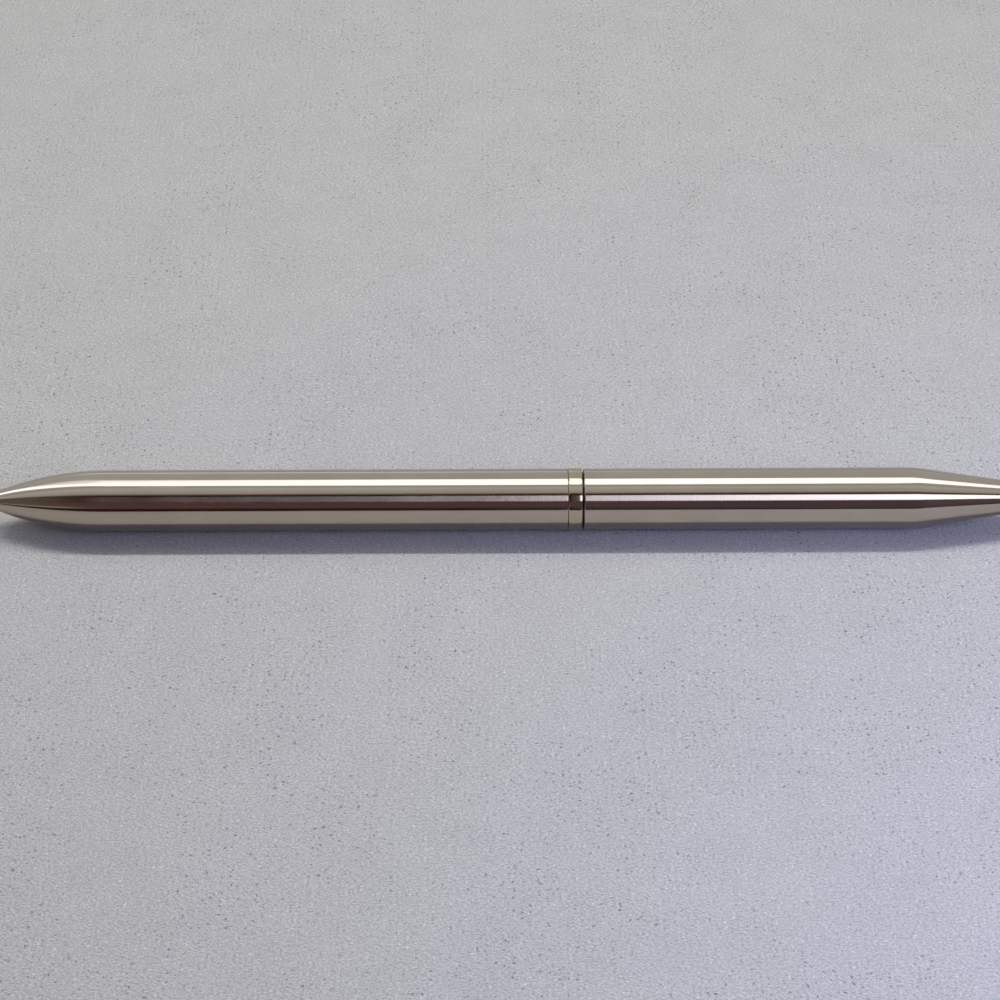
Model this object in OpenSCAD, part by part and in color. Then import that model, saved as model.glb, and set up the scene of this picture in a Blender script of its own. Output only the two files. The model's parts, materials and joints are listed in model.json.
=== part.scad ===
// Double-ended twist ballpoint pen. Its axis is the X axis and its middle is the origin.
// The long barrel is the fixed half. The short barrel turns on it, and a helical slot then
// drives a shuttle that carries two refills back to back, so that one point or the other comes out.
// Lengths are in millimetres and angles in degrees.

/* [Barrels] */
// Outside diameter of both barrels
barrel_d = 8.0; // [7.6:0.1:10]
// Wall of both barrels
barrel_wall = 0.45; // [0.35:0.05:0.6]
// Length of the rounded nose on the long barrel
ogive_len = 14.8; // [13:0.1:20]
// Length of the conical nose on the short barrel
cone_len = 19.4; // [15:0.1:22]
// Radius that blends the cone into the short barrel
shoulder_r = 14; // [4:0.5:30]
// Width of the lip around the mouth at each end
mouth_lip = 0.21; // [0.15:0.01:0.35]
// Chamfer on the open end of each barrel
edge_break = 0.12; // [0.05:0.01:0.2]

/* [Centre joint] */
// Distance from the middle of the pen to the trim ring
ring_x = 5.24; // [4.5:0.02:9]
// Width of the trim ring
ring_w = 1.76; // [1:0.02:4]
// Height of the ring's crown above the barrels
ring_proud = 0.07; // [0.02:0.01:0.3]
// Fall of the ring's outside from its crown to its edges
ring_crown = 0.11; // [0.05:0.01:0.3]
// Gap between the trim ring and the short barrel
joint_gap = 0.25; // [0.1:0.05:0.6]
// Length of the journal that the short barrel turns on
spigot_len = 4.6; // [3:0.1:8]
// Thickness of the friction ring's rubber
friction_ring_t = 0.55; // [0.4:0.05:0.6]

/* [Refills] */
// Length of a refill, ball included
refill_len = 67; // [60:0.5:75]
// Outside diameter of a refill
refill_d = 2.35; // [2.2:0.05:2.5]
// Wall of the refill tube
refill_wall = 0.2; // [0.15:0.05:0.3]
// Diameter of the slender front of the writing tip
nozzle_d = 1.5; // [1.3:0.05:1.6]
// Length of the taper behind the ball
lip_taper = 1.2; // [0.6:0.1:2]
// Wall of the lip around the ball
lip_wall = 0.07; // [0.05:0.01:0.1]
// Diameter of the ball
ball_d = 1.0; // [0.7:0.05:1]
// How far the ball stands out of its lip
ball_out = 0.32; // [0.25:0.01:0.34]
// Diameter of the ink feed in the writing tip
feed_d = 0.5; // [0.3:0.05:0.6]
// Length of the writing tip's collar in front of the refill tube
flange_len = 0.6; // [0.3:0.1:1.5]
// Length of the writing tip inside the refill tube
shank_len = 3.5; // [2:0.1:6]
// Length of the ink column in a full tube
ink_len = 42; // [10:0.5:45]
// Length of the grease plug behind the ink
grease_len = 4; // [2:0.5:8]

/* [Mechanism] */
// How far a point stands out of its mouth
tip_out = 2.2; // [1.5:0.1:3]
// How far a point lies inside its mouth when both are in
tip_setback = 1.4; // [0.8:0.1:2.5]
// Turn of the short barrel to either side
twist = 180; // [120:5:180]
// Thickness of the shuttle between its two sockets
web = 3.2; // [2.4:0.1:6]
// Depth of each refill socket
socket_len = 10; // [6:0.5:14]
// Wall of the shuttle around a refill
shuttle_wall = 0.52; // [0.4:0.02:0.7]
// Width of the slits that let a socket grip
slit_w = 0.5; // [0.3:0.05:0.8]
// Depth of the socket that the slits leave whole
slit_land = 3; // [1:0.5:5]
// Diameter of the drive pin
pin_d = 1.2; // [0.8:0.05:1.4]
// Wall of the guide tube
guide_wall = 0.35; // [0.25:0.05:0.5]
// Wall of the cam sleeve
cam_wall = 0.45; // [0.35:0.05:0.6]
// Solid sleeve between the cam slot and the retaining clip
cam_land = 2.5; // [1.5:0.1:5]
// Solid sleeve behind the retaining clip
cam_tail = 0.8; // [0.5:0.1:2]
// Length of the collar that drives the short barrel
collar_len = 8; // [4:0.5:14]
// Thickness of the retaining clip
clip_t = 0.4; // [0.3:0.05:0.6]
// Height of the retaining clip above the cam sleeve
clip_h = 0.55; // [0.4:0.05:0.7]
// Opening of the retaining clip
clip_open = 2; // [1:0.1:3]
// Thickness of the thrust washer
washer_t = 0.3; // [0.2:0.05:0.6]

/* [Nose bushes] */
// Distance from a mouth to its nose bush
bush_setback = 9; // [7:0.5:12]
// Length of a nose bush
bush_len = 4; // [2:0.5:8]

/* [Fits] */
// Gap between pieces that are pressed together
press_gap = 0.01; // [0.005:0.005:0.02]
// Gap between round faces that turn or slide on each other
run_gap = 0.05; // [0.03:0.01:0.08]
// Gap around a refill in its nose bush
bush_gap = 0.075; // [0.05:0.005:0.12]
// Gap beside the drive pin in its slots
pin_gap = 0.1; // [0.06:0.01:0.2]
// Gap along the pen between faces that pass each other
end_gap = 0.05; // [0.03:0.01:0.1]
// Gap around a writing tip in its mouth
mouth_gap = 0.15; // [0.1:0.01:0.2]
// Gap between a writing tip and the inside of its nose
tip_gap = 0.12; // [0.08:0.01:0.2]
// Gap around the ball in its socket
ball_gap = 0.02; // [0.01:0.005:0.03]

/* [Hidden] */

// Sides of circles: turned pieces, and the long shallow arcs of the noses
round_sides = 96;
arc_sides = 720;
// Cutters reach this far past the faces that they cut
over = 1;

// Radii from the axis outwards
refill_r = refill_d / 2;
refill_bore_r = refill_r - refill_wall;
socket_r = refill_r + press_gap;
shuttle_r = socket_r + shuttle_wall;
guide_bore_r = shuttle_r + run_gap;
guide_r = guide_bore_r + guide_wall;
cam_bore_r = guide_r + run_gap;
cam_r = cam_bore_r + cam_wall;
journal_bore_r = cam_r + run_gap;
barrel_r = barrel_d / 2;
bore_r = barrel_r - barrel_wall;
journal_r = bore_r - run_gap;
seat_r = bore_r - press_gap;
pin_r = pin_d / 2;

// Radii at the points and mouths
ball_r = ball_d / 2;
ball_seat_r = ball_r + ball_gap;
lip_r = sqrt(pow(ball_seat_r, 2) - pow(ball_r - ball_out, 2)) + lip_wall;
nozzle_r = nozzle_d / 2;
mouth_bore_r = nozzle_r + mouth_gap;
mouth_r = mouth_bore_r + mouth_lip;

// The pen's ends, and the travel of the shuttle to either side
half_len = tip_setback + refill_len + web / 2;
travel = tip_setback + tip_out;

// The rounded nose: one arc, tangent to the barrel, that ends at the mouth
nose_drop = barrel_r - mouth_r;
ogive_r = (ogive_len * ogive_len + nose_drop * nose_drop) / (2 * nose_drop);
ogive_x = ogive_len - half_len;

// The conical nose: its corner with the barrel is rounded by an arc, tangent to both
cone_a = atan(nose_drop / cone_len);
cone_x = half_len - cone_len;
shoulder_reach = shoulder_r * tan(cone_a / 2);
shoulder_x = cone_x - shoulder_reach;

// Distance from each mouth at which the inside of its nose reaches a radius
function ogive_depth(r) =
    ogive_len - sqrt(pow(ogive_r - barrel_wall, 2) - pow(r + ogive_r - barrel_r, 2));
function cone_depth(r) = (r - mouth_r + barrel_wall / cos(cone_a)) / tan(cone_a);
function nose_depth(r) = max(ogive_depth(r), cone_depth(r));

// The writing tip is slender as far as the narrow part of either nose reaches, point out
nozzle_len = tip_out + nose_depth(mouth_bore_r) + tip_gap;
tip_len = tip_out + nose_depth(refill_r + tip_gap);
tube_start = tip_len + flange_len;
ink_start = tube_start + shank_len + press_gap;
grease_start = ink_start + ink_len + press_gap;

// The cam slot: the shuttle moves cam_lead in a whole turn of the short barrel
cam_lead = travel * 360 / twist;
slot_half_w = pin_r + pin_gap;
slot_slope = atan(cam_lead / (2 * PI * cam_bore_r));
slot_half_x = slot_half_w / cos(slot_slope);
slot_end_a = slot_half_w / cam_bore_r * 180 / PI;
slot_end_x = travel + slot_half_x + slot_end_a * cam_lead / 360;
slot_steps = 96;

// Places along the pen
short_x = ring_x + ring_w + joint_gap;
spigot_end_x = short_x + spigot_len;
washer_x = spigot_end_x + end_gap;
collar_x = washer_x + washer_t + end_gap;
collar_end_x = collar_x + collar_len;
joint_bush_x = -slot_end_x - cam_land;
clip_x = joint_bush_x - end_gap - clip_t;
cam_x = clip_x - cam_tail;
anchor_end_x = cam_x - end_gap;
shuttle_half = web / 2 + socket_len;
guide_half = shuttle_half + travel + end_gap;

// The friction ring lies in a groove halfway along the journal
friction_ring_r = seat_r - friction_ring_t / 2;
groove_r = seat_r - friction_ring_t - press_gap;
groove_w = friction_ring_t + 2 * run_gap;
groove_x = short_x + spigot_len / 2;

// The clip lies in a groove half as deep as the sleeve's wall
clip_groove_r = cam_r - cam_wall / 2;

// The ring's outside is an arc that is highest halfway along
crown_r = barrel_r + ring_proud;
ring_arc_r = (ring_w * ring_w / 4 + ring_crown * ring_crown) / (2 * ring_crown);

// Colours
plate_colour = [0.66, 0.62, 0.55];
brass_colour = [0.78, 0.62, 0.34];
steel_colour = [0.62, 0.63, 0.65];
nickel_silver_colour = [0.70, 0.68, 0.62];
acetal_colour = [0.90, 0.89, 0.85];
rubber_colour = [0.06, 0.06, 0.06];
black_colour = [0.03, 0.03, 0.05];
red_colour = [0.62, 0.03, 0.05];
grease_colour = [0.85, 0.80, 0.55];

// Turns an outline about the pen's axis. In the outline, X is the radius and Y lies along the pen.
module turned() {
    rotate([0, 90, 0])
        rotate_extrude($fn = round_sides)
            children();
}

// Outline of a plain tube
module tube_outline(r_in, r_out, x_from, x_to) {
    translate([r_in, x_from])
        square([r_out - r_in, x_to - x_from]);
}

// Outline of a stretch of the long barrel, filled, set in from the outside
module long_outline(inset, x_from, x_to) {
    intersection() {
        union() {
            translate([barrel_r - ogive_r, ogive_x])
                circle(r = ogive_r - inset, $fn = arc_sides);
            tube_outline(0, barrel_r - inset, ogive_x, ring_x + over);
        }
        tube_outline(0, barrel_r - inset, x_from, x_to);
    }
}

// Outline of a stretch of the short barrel, filled, set in from the outside
module short_outline(inset, x_from, x_to) {
    cone_from = cone_x + shoulder_reach * cos(cone_a) - inset * sin(cone_a);
    cone_from_r = barrel_r - shoulder_reach * sin(cone_a) - inset * cos(cone_a);
    cone_to_r = cone_from_r - (half_len - cone_from) * tan(cone_a);
    intersection() {
        union() {
            tube_outline(0, barrel_r - inset, short_x - over, shoulder_x);
            translate([barrel_r - shoulder_r, shoulder_x])
                circle(r = shoulder_r - inset, $fn = arc_sides);
            polygon([
                [0, shoulder_x], [cone_to_r, shoulder_x], [cone_from_r, cone_from],
                [cone_to_r, half_len], [0, half_len]
            ]);
        }
        tube_outline(0, barrel_r - inset, x_from, x_to);
    }
}

// Outline of the chamfer to cut from a barrel's open end; side is 1 where the barrel lies above it
module edge_cut(x, side) {
    polygon([
        [barrel_r - edge_break, x - side * over],
        [barrel_r - edge_break, x],
        [barrel_r, x + side * edge_break],
        [barrel_r + over, x + side * edge_break],
        [barrel_r + over, x - side * over]
    ]);
}

// Plated brass barrel with a rounded nose, drawn in one piece
module long_barrel() {
    color(plate_colour)
        turned()
            difference() {
                long_outline(0, -half_len, ring_x);
                long_outline(barrel_wall, -half_len + ogive_depth(mouth_bore_r), ring_x + over);
                tube_outline(0, mouth_bore_r, -half_len - over, ogive_x);
                edge_cut(ring_x, -1);
            }
}

// Plated brass barrel with a conical nose, drawn in one piece
module short_barrel() {
    color(plate_colour)
        turned()
            difference() {
                short_outline(0, short_x, half_len);
                short_outline(barrel_wall, short_x - over, half_len - cone_depth(mouth_bore_r));
                tube_outline(0, mouth_bore_r, cone_x, half_len + over);
                edge_cut(short_x, 1);
            }
}

// Plastic bush wedged in the rounded nose, which keeps the refill in line
module long_nose_bush() {
    front_x = bush_setback - half_len;
    color(acetal_colour)
        turned()
            difference() {
                long_outline(barrel_wall + press_gap, front_x, front_x + bush_len);
                tube_outline(0, refill_r + bush_gap, front_x - over, front_x + bush_len + over);
            }
}

// Plastic bush wedged in the conical nose
module short_nose_bush() {
    front_x = half_len - bush_setback;
    color(acetal_colour)
        turned()
            difference() {
                short_outline(barrel_wall + press_gap, front_x - bush_len, front_x);
                tube_outline(0, refill_r + bush_gap, front_x - bush_len - over, front_x + over);
            }
}

// Crowned trim ring on the joint bush, between the two barrels
module centre_ring() {
    color(plate_colour)
        turned()
            intersection() {
                tube_outline(seat_r + press_gap, crown_r, ring_x, ring_x + ring_w);
                translate([crown_r - ring_arc_r, ring_x + ring_w / 2])
                    circle(r = ring_arc_r, $fn = arc_sides);
            }
}

// Turned brass bush pressed into the long barrel. Its far end is the journal of the short barrel.
module joint_bush() {
    color(brass_colour)
        turned()
            difference() {
                union() {
                    tube_outline(journal_bore_r, seat_r, joint_bush_x, ring_x + ring_w);
                    tube_outline(journal_bore_r, journal_r, joint_bush_x, spigot_end_x);
                }
                tube_outline(groove_r, bore_r, groove_x - groove_w / 2, groove_x + groove_w / 2);
            }
}

// Rubber ring that gives the turning joint its drag
module friction_ring() {
    color(rubber_colour)
        turned()
            translate([friction_ring_r, groove_x])
                circle(d = friction_ring_t, $fn = round_sides);
}

// Turned brass bush that holds the guide tube in the long barrel
module guide_anchor() {
    color(brass_colour)
        turned()
            tube_outline(guide_r + press_gap, seat_r, -guide_half, anchor_end_x);
}

// Slot with round ends, cut through both walls along the pen
module straight_slot() {
    cut_h = 2 * (guide_r + over);
    translate([-travel, -slot_half_w, -cut_h / 2])
        cube([2 * travel, 2 * slot_half_w, cut_h]);
    for (side = [-1, 1])
        translate([side * travel, 0, -cut_h / 2])
            cylinder(r = slot_half_w, h = cut_h, $fn = round_sides);
}

// Brass tube with two straight slots that keep the shuttle from turning
module guide_tube() {
    color(brass_colour)
        difference() {
            turned()
                tube_outline(guide_bore_r, guide_r, -guide_half, guide_half);
            straight_slot();
        }
}

// Brass collar on the cam sleeve that is pressed into the short barrel
module drive_collar() {
    color(brass_colour)
        turned()
            tube_outline(cam_r + press_gap, seat_r, collar_x, collar_end_x);
}

// One corner of the helical cutter, at an angle about the pen from straight up
function slot_point(a, r, dx) = [dx - a * cam_lead / 360, -r * sin(a), r * cos(a)];

// Helical cutter that the drive pin follows as the sleeve turns
module helical_slot() {
    r_in = cam_bore_r - run_gap;
    r_out = cam_r + over;
    turn = twist + slot_end_a;
    corners = [[r_in, -slot_half_x], [r_out, -slot_half_x], [r_out, slot_half_x], [r_in, slot_half_x]];
    angles = [for (i = [0 : slot_steps]) -turn + i * 2 * turn / slot_steps];
    points = [for (a = angles) for (c = corners) slot_point(a, c[0], c[1])];
    last = 4 * slot_steps;
    sides = [
        for (i = [0 : slot_steps - 1]) for (k = [0 : 3])
            let (a = 4 * i + k, b = 4 * i + (k + 1) % 4)
                each [[a, b, b + 4], [a, b + 4, a + 4]]
    ];
    ends = [[0, 2, 1], [0, 3, 2], [last, last + 1, last + 2], [last, last + 2, last + 3]];
    polyhedron(points, concat(sides, ends), convexity = 8);
}

// Brass sleeve that turns with the short barrel and moves the drive pin along the pen
module cam_sleeve() {
    groove_from = clip_x - press_gap;
    groove_to = clip_x + clip_t + press_gap;
    color(brass_colour)
        difference() {
            turned()
                difference() {
                    tube_outline(cam_bore_r, cam_r, cam_x, collar_end_x);
                    tube_outline(clip_groove_r, cam_r + over, groove_from, groove_to);
                }
            helical_slot();
        }
}

// Steel clip in the sleeve's groove that keeps the two halves together
module retaining_clip() {
    clip_r = cam_r + clip_h;
    color(steel_colour)
        difference() {
            turned()
                tube_outline(clip_groove_r + press_gap, clip_r, clip_x, clip_x + clip_t);
            translate([clip_x - over, -clip_open / 2, 0])
                cube([clip_t + 2 * over, clip_open, clip_r + over]);
        }
}

// Plastic washer between the journal's end and the drive collar
module thrust_washer() {
    color(acetal_colour)
        turned()
            tube_outline(cam_r + run_gap, journal_r, washer_x, washer_x + washer_t);
}

// Plastic carrier with a socket for a refill at each end and the drive pin across its middle
module shuttle() {
    slit_len = socket_len - slit_land + over;
    color(acetal_colour)
        difference() {
            turned()
                difference() {
                    tube_outline(0, shuttle_r, -shuttle_half, shuttle_half);
                    tube_outline(0, socket_r, web / 2, shuttle_half + over);
                    tube_outline(0, socket_r, -shuttle_half - over, -web / 2);
                }
            translate([0, 0, -shuttle_r - over])
                cylinder(r = pin_r + press_gap, h = 2 * (shuttle_r + over), $fn = round_sides);
            for (side = [-1, 1])
                translate([side * (shuttle_half + over - slit_len / 2), 0, 0])
                    cube([slit_len, 2 * (shuttle_r + over), slit_w], center = true);
        }
}

// Steel pin: its lower end rides in the guide tube, and its upper end there and in the cam slot
module drive_pin() {
    low_z = -sqrt(pow(guide_r, 2) - pow(pin_r, 2));
    high_z = sqrt(pow(cam_r, 2) - pow(pin_r, 2));
    color(steel_colour)
        translate([0, 0, low_z])
            cylinder(r = pin_r, h = high_z - low_z, $fn = round_sides);
}

// Puts a piece of a refill in place: its outline starts at the ball and runs inwards
module at_end(side) {
    mirror([side > 0 ? 1 : 0, 0, 0])
        translate([tip_setback - half_len, 0, 0])
            children();
}

// Brass ink tube of a refill
module refill_tube(side) {
    color(brass_colour)
        at_end(side)
            turned()
                tube_outline(refill_bore_r, refill_r, tube_start, refill_len);
}

// Nickel silver writing tip: lip, slender front, shoulder, collar, and a shank inside the tube
module writing_tip(side) {
    shank_r = refill_bore_r - press_gap;
    collar_end = tube_start - press_gap;
    shank_end = tube_start + shank_len;
    color(nickel_silver_colour)
        at_end(side)
            difference() {
                turned()
                    difference() {
                        polygon([
                            [0, ball_out], [lip_r, ball_out], [nozzle_r, ball_out + lip_taper],
                            [nozzle_r, nozzle_len], [refill_r, tip_len], [refill_r, collar_end],
                            [shank_r, collar_end], [shank_r, shank_end], [0, shank_end]
                        ]);
                        tube_outline(0, feed_d / 2, ball_r, shank_end + over);
                    }
                translate([ball_r, 0, 0])
                    sphere(r = ball_seat_r, $fn = round_sides);
            }
}

// Hard metal ball that rolls in the writing tip
module writing_ball(side) {
    color(steel_colour)
        at_end(side)
            translate([ball_r, 0, 0])
                sphere(r = ball_r, $fn = round_sides);
}

// Ink in the tube and in the feed, up to the ball
module ink(side, tint) {
    color(tint)
        at_end(side)
            turned() {
                tube_outline(0, refill_bore_r - press_gap, ink_start, ink_start + ink_len);
                tube_outline(0, feed_d / 2 - press_gap, ball_r + ball_seat_r, ink_start + press_gap);
            }
}

// Grease plug that follows the ink
module grease(side) {
    color(grease_colour)
        at_end(side)
            turned()
                tube_outline(0, refill_bore_r - press_gap, grease_start, grease_start + grease_len);
}

long_barrel();
long_nose_bush();
centre_ring();
joint_bush();
friction_ring();
guide_anchor();
guide_tube();
short_barrel();
short_nose_bush();
drive_collar();
cam_sleeve();
retaining_clip();
thrust_washer();
shuttle();
drive_pin();
refill_tube(-1);  // black_refill_tube
writing_tip(-1);  // black_tip
writing_ball(-1);  // black_ball
ink(-1, black_colour);  // black_ink
grease(-1);  // black_grease
refill_tube(1);  // red_refill_tube
writing_tip(1);  // red_tip
writing_ball(1);  // red_ball
ink(1, red_colour);  // red_ink
grease(1);  // red_grease
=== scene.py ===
"""Looks of a slim double-ended twist pen: plated barrels, a crowned ring and turned writing points."""

import json
import math

import bpy
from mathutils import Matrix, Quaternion, Vector


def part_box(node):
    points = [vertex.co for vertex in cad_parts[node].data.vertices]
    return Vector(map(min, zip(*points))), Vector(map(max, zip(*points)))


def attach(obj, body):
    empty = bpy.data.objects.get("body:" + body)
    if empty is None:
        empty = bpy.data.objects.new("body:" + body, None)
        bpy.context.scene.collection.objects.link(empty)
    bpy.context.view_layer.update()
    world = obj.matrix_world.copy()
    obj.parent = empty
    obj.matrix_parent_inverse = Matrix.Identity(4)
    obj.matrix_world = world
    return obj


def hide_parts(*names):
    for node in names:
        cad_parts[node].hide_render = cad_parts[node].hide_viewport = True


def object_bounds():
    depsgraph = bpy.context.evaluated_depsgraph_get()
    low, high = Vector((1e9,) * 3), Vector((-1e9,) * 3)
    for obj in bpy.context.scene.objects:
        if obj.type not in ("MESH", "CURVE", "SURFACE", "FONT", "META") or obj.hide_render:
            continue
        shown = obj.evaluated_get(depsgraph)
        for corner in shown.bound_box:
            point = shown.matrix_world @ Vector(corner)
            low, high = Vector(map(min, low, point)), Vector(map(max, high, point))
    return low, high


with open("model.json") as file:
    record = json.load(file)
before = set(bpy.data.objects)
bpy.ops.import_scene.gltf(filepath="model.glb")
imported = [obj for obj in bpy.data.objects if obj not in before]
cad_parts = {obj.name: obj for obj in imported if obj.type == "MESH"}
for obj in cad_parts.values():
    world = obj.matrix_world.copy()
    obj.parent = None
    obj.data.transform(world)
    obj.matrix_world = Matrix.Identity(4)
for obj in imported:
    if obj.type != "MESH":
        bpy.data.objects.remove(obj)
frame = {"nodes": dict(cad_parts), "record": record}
cad_lo, cad_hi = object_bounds()

# Driving sizes, in metres
MM = 0.001
WALL = 0.45 * MM
MOUTH_R = 1.11 * MM
MOUTH_BORE_R = 0.90 * MM
OGIVE_LEN = 14.8 * MM
CONE_LEN = 19.4 * MM
SHOULDER_R = 14 * MM
# The ring: half of its flatter middle, that arc's radius, the radius towards its edges, their land
RING_MIDDLE = 0.60 * MM
RING_MIDDLE_R = 100 * MM
RING_SIDE_R = 0.9 * MM
RING_LAND = 0.08 * MM
# Roundings of the edges, and the straight stretch that an arc leaves for one
LIP_EDGE = 0.07 * MM
OPEN_EDGE = 0.16 * MM
INNER_EDGE = 0.04 * MM
RING_EDGE = 0.05 * MM
EDGE_LAND = 0.12 * MM
# Writing point, with the roundings of its lip, slender front and collar
BALL_OUT = 0.32 * MM
LIP_WALL = 0.066 * MM
LIP_INNER_EDGE = LIP_WALL / 4
LIP_OUTER_EDGE = LIP_WALL / 3
LIP_TAPER = 1.2 * MM
NOZZLE_R = 0.75 * MM
NOZZLE_LEN = 3.964 * MM
NOZZLE_EDGE = 0.8 * MM
TIP_LEN = 6.496 * MM
REFILL_R = 1.175 * MM
COLLAR_EDGE = 0.4 * MM
SHANK_R = 0.965 * MM
FEED_R = 0.25 * MM
SEAT_GAP = 0.02 * MM

# Mesh steps: sides and longest row of a turned piece, then fewest, widest and longest rows on an arc
SIDES = 192
ROW_STEP = 1.5 * MM
ARC_ROWS = 3
ARC_STEP = math.radians(7)
ARC_ROW_STEP = ROW_STEP / 3
BALL_RINGS = 48
# Ends of two arcs that lie nearer than this are one place
SAME_PLACE = 1e-7

# Camera, placed as in the photograph
CAMERA_TARGET = Vector((-3.68 * MM, 0, 0))
CAMERA_DISTANCE = 300 * MM
CAMERA_ELEVATION = math.radians(43)
CAMERA_ROLL = math.radians(0.216)
PICTURE_WIDTH = 131.1 * MM
PICTURE_SHIFT = -0.0009
SENSOR_WIDTH = 36.0

# Key lamp: a long strip above and behind, which gives the shadow its edge
KEY_ANGLE = math.radians(112.4)
KEY_DISTANCE = 0.45
KEY_X = 0.02
KEY_LENGTH = 0.6
KEY_WIDTH = 0.021
KEY_POWER = 1.42
KEY_COLOUR = (1.0, 0.985, 0.93)
# Fill lamp: a small cool lamp to the right in front
FILL_PLACE = Vector((0.12, -0.10, 0.105))
FILL_SIZE = 0.08
FILL_POWER = 0.07
FILL_COLOUR = (1.0, 1.08, 2.0)

# Plate: how wear changes the record's clean colour by channel, then its smudges' tones and dullness
PLATE_WEAR = (0.845, 0.808, 0.775)
SMUDGE_TONES = (0.88, 0.96)
SMUDGE_DULL = (0.92, 1.12)
# Turn of the plate's stretched shine from its tangent
QUARTER_TURN = 0.25
# Lines around the plate, in marks a metre along, across and up, and the finer ones' share of the height
PLATE_LINES = (5000, 250, 250)
FINE_LINES = (16000, 500, 500)
FINE_SHARE = 0.35
# Hairlines on the unrolled plate: its radius, marks a metre, their slant, where one shows, its depth
PLATE_R = 4 * MM
HAIRLINES = (90, 14000, 1)
HAIRLINE_SLANT = (0, 0, math.radians(-12))
HAIRLINE_CUT = (0.76, 0.79)
HAIRLINE_DEPTH = 0.35
# End faces at the joint, darkened with painted shade: how squarely a face looks along the pen, its
# reach, the shade's tone and the faces' dullness
FACING_ALONG = (0.75, 0.95)
JOINT_REACH = (4 * MM, 3 * MM)
END_FACE_SHADE_TONE = 0.12
END_FACE_DULL = 0.4
# Painted shade on what lies under the gap of the joint
GAP_SHADE_EDGE = 0.1 * MM
GAP_SHADE_COLOUR = (0.03, 0.028, 0.025, 1)
# Turned metal: how much longer its lines are around than along, their dullness, its tone where clean
LATHE_STRETCH = 40
LATHE_DULL = (0.8, 1.25)
CLEAN_TONE = 1.04
# Moulded and wet finishes: tones of the clouding, dullness of the grain, roughness of ink and grease
CLOUD_TONES = (0.9, 1.04)
GRAIN_DULL = (0.85, 1.15)
WET_ROUGHNESS = (0.08, 0.2)
# Levels between which most of a noise lies
NOISE_SPAN = (0.3, 0.7)

# Paper: the colours of its grain, the painted shade in its pits and its flecks, and how strongly each
# shows
PAPER_LOW = (0.34, 0.34, 0.345, 1)
PAPER_HIGH = (0.63, 0.626, 0.628, 1)
PAPER_PIT_SHADE = (0.26, 0.26, 0.265, 1)
PAPER_FLECK = (0.75, 0.75, 0.76, 1)
MOTTLE_SHARE = 0.1
PIT_SHARE = 0.85
SMALL_PIT_SHARE = 0.6
FLECK_SHARE = 0.75
# Share of the pits that shows outside and inside the patches
PATCH_SHARES = (0.35, 1.0)
# Its relief, a pit's depth as a share of that, how far a pit's outline strays, and how often in a metre
PAPER_RELIEF = 0.15 * MM
PIT_DEPTH = 0.8
PIT_STRAY = 0.5 * MM
STRAYS_PER_M = 3500
# Cells a metre, of which some hold a pit or a fleck, and the share of cells where it is faint
SPECK_CELLS = 1000
SPECK_FAINT = 0.02
# Sizes and soft edge of a pit or a fleck, in shares of its radius
SPECK_SIZES = (0.5, 1.3)
SPECK_EDGE = 0.5
# How closely the marks lie along and across the pen
GRAIN_SCALE = (0.7, 1.1, 1)
SMALL_PIT_SCALE = (1.2, 1.8, 1)
FLECK_SCALE = (1.1, 1.5, 1)
# Noise levels between which the grain turns pale and a patch begins
GRAIN_SPAN = (0.30, 0.80)
PATCH_SPAN = (0.40, 0.60)
# Size of the floor, and the distances between which it fades to the backdrop
FLOOR_SIZE = 8.0
FLOOR_FADE = (0.165, 0.32)
BACKDROP_COLOUR = (0.50, 0.50, 0.52, 1)

# What the metal reflects, by angle about the pen: 0 is level in front, 90 straight up, 180 level behind
HALF_TURN = 180
FRONT_EDGE = (0.025, 0.010, 0.009)
FRONT_LOW = (0.125, 0.066, 0.070)
FRONT_HIGH = (0.045, 0.018, 0.014)
FRONT_TOP = (0.040, 0.017, 0.013)
CEILING_EDGE = (0.136, 0.112, 0.103)
CEILING_FRONT = (0.50, 0.48, 0.483)
CEILING_MIDDLE = (0.543, 0.541, 0.555)
CEILING_BRIGHT = (0.637, 0.653, 0.678)
CEILING_BACK = (0.46, 0.49, 0.504)
BACK_WALL = (0.543, 0.562, 0.586)
BACK_FOOT = (0.418, 0.429, 0.452)
SURROUND = (
    (0, FRONT_EDGE),
    (9.5, FRONT_EDGE),
    (13, FRONT_LOW),
    (32.5, FRONT_LOW),
    (35.5, FRONT_HIGH),
    (59.5, FRONT_TOP),
    (62.5, CEILING_EDGE),
    (68, CEILING_FRONT),
    (77.5, CEILING_MIDDLE),
    (86, CEILING_BRIGHT),
    (94, CEILING_BACK),
    (126, CEILING_BACK),
    (132, BACK_WALL),
    (173, BACK_WALL),
    (177, BACK_FOOT),
)
# Zones over the surround: a colour, a place as the X of a direction, angles as above, and a soft edge.
# The side zone counts its place to the left and to the right.
ZONE_EDGE = 2
RIGHT_COLOUR = (0.10, 0.075, 0.095, 1)
RIGHT_PLACE = (-0.02, 0.08)
RIGHT_ANGLES = (4, 33.5)
SIDE_COLOUR = (0.15, 0.13, 0.11, 1)
SIDE_PLACE = (0.3, 0.7)
SIDE_ANGLES = (12, 60)
LEFT_PLACE = (-0.3, -0.45)
LEFT_DARK_COLOUR = (0.04, 0.025, 0.02, 1)
LEFT_DARK_ANGLES = (-2, 10)
LEFT_LINE_COLOUR = (0.55, 0.48, 0.42, 1)
LEFT_LINE_ANGLES = (12, 16)
LEFT_LINE_EDGE = 1.5
BACK_LINE_COLOUR = (0.89, 0.97, 1.05, 1)
BACK_LINE_PLACE = (-0.25, 0.03)
BACK_LINE_ANGLES = (165, 173)
# White strip overhead and the glow about it
STRIP_COLOUR = (2.4, 2.35, 2.65, 1)
STRIP_GLOW_COLOUR = (1.2, 1.22, 1.23, 1)
STRIP_GLOW_PLACE = (-0.46, -0.19)
STRIP_GLOW_ANGLES = (108, 130)
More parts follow.
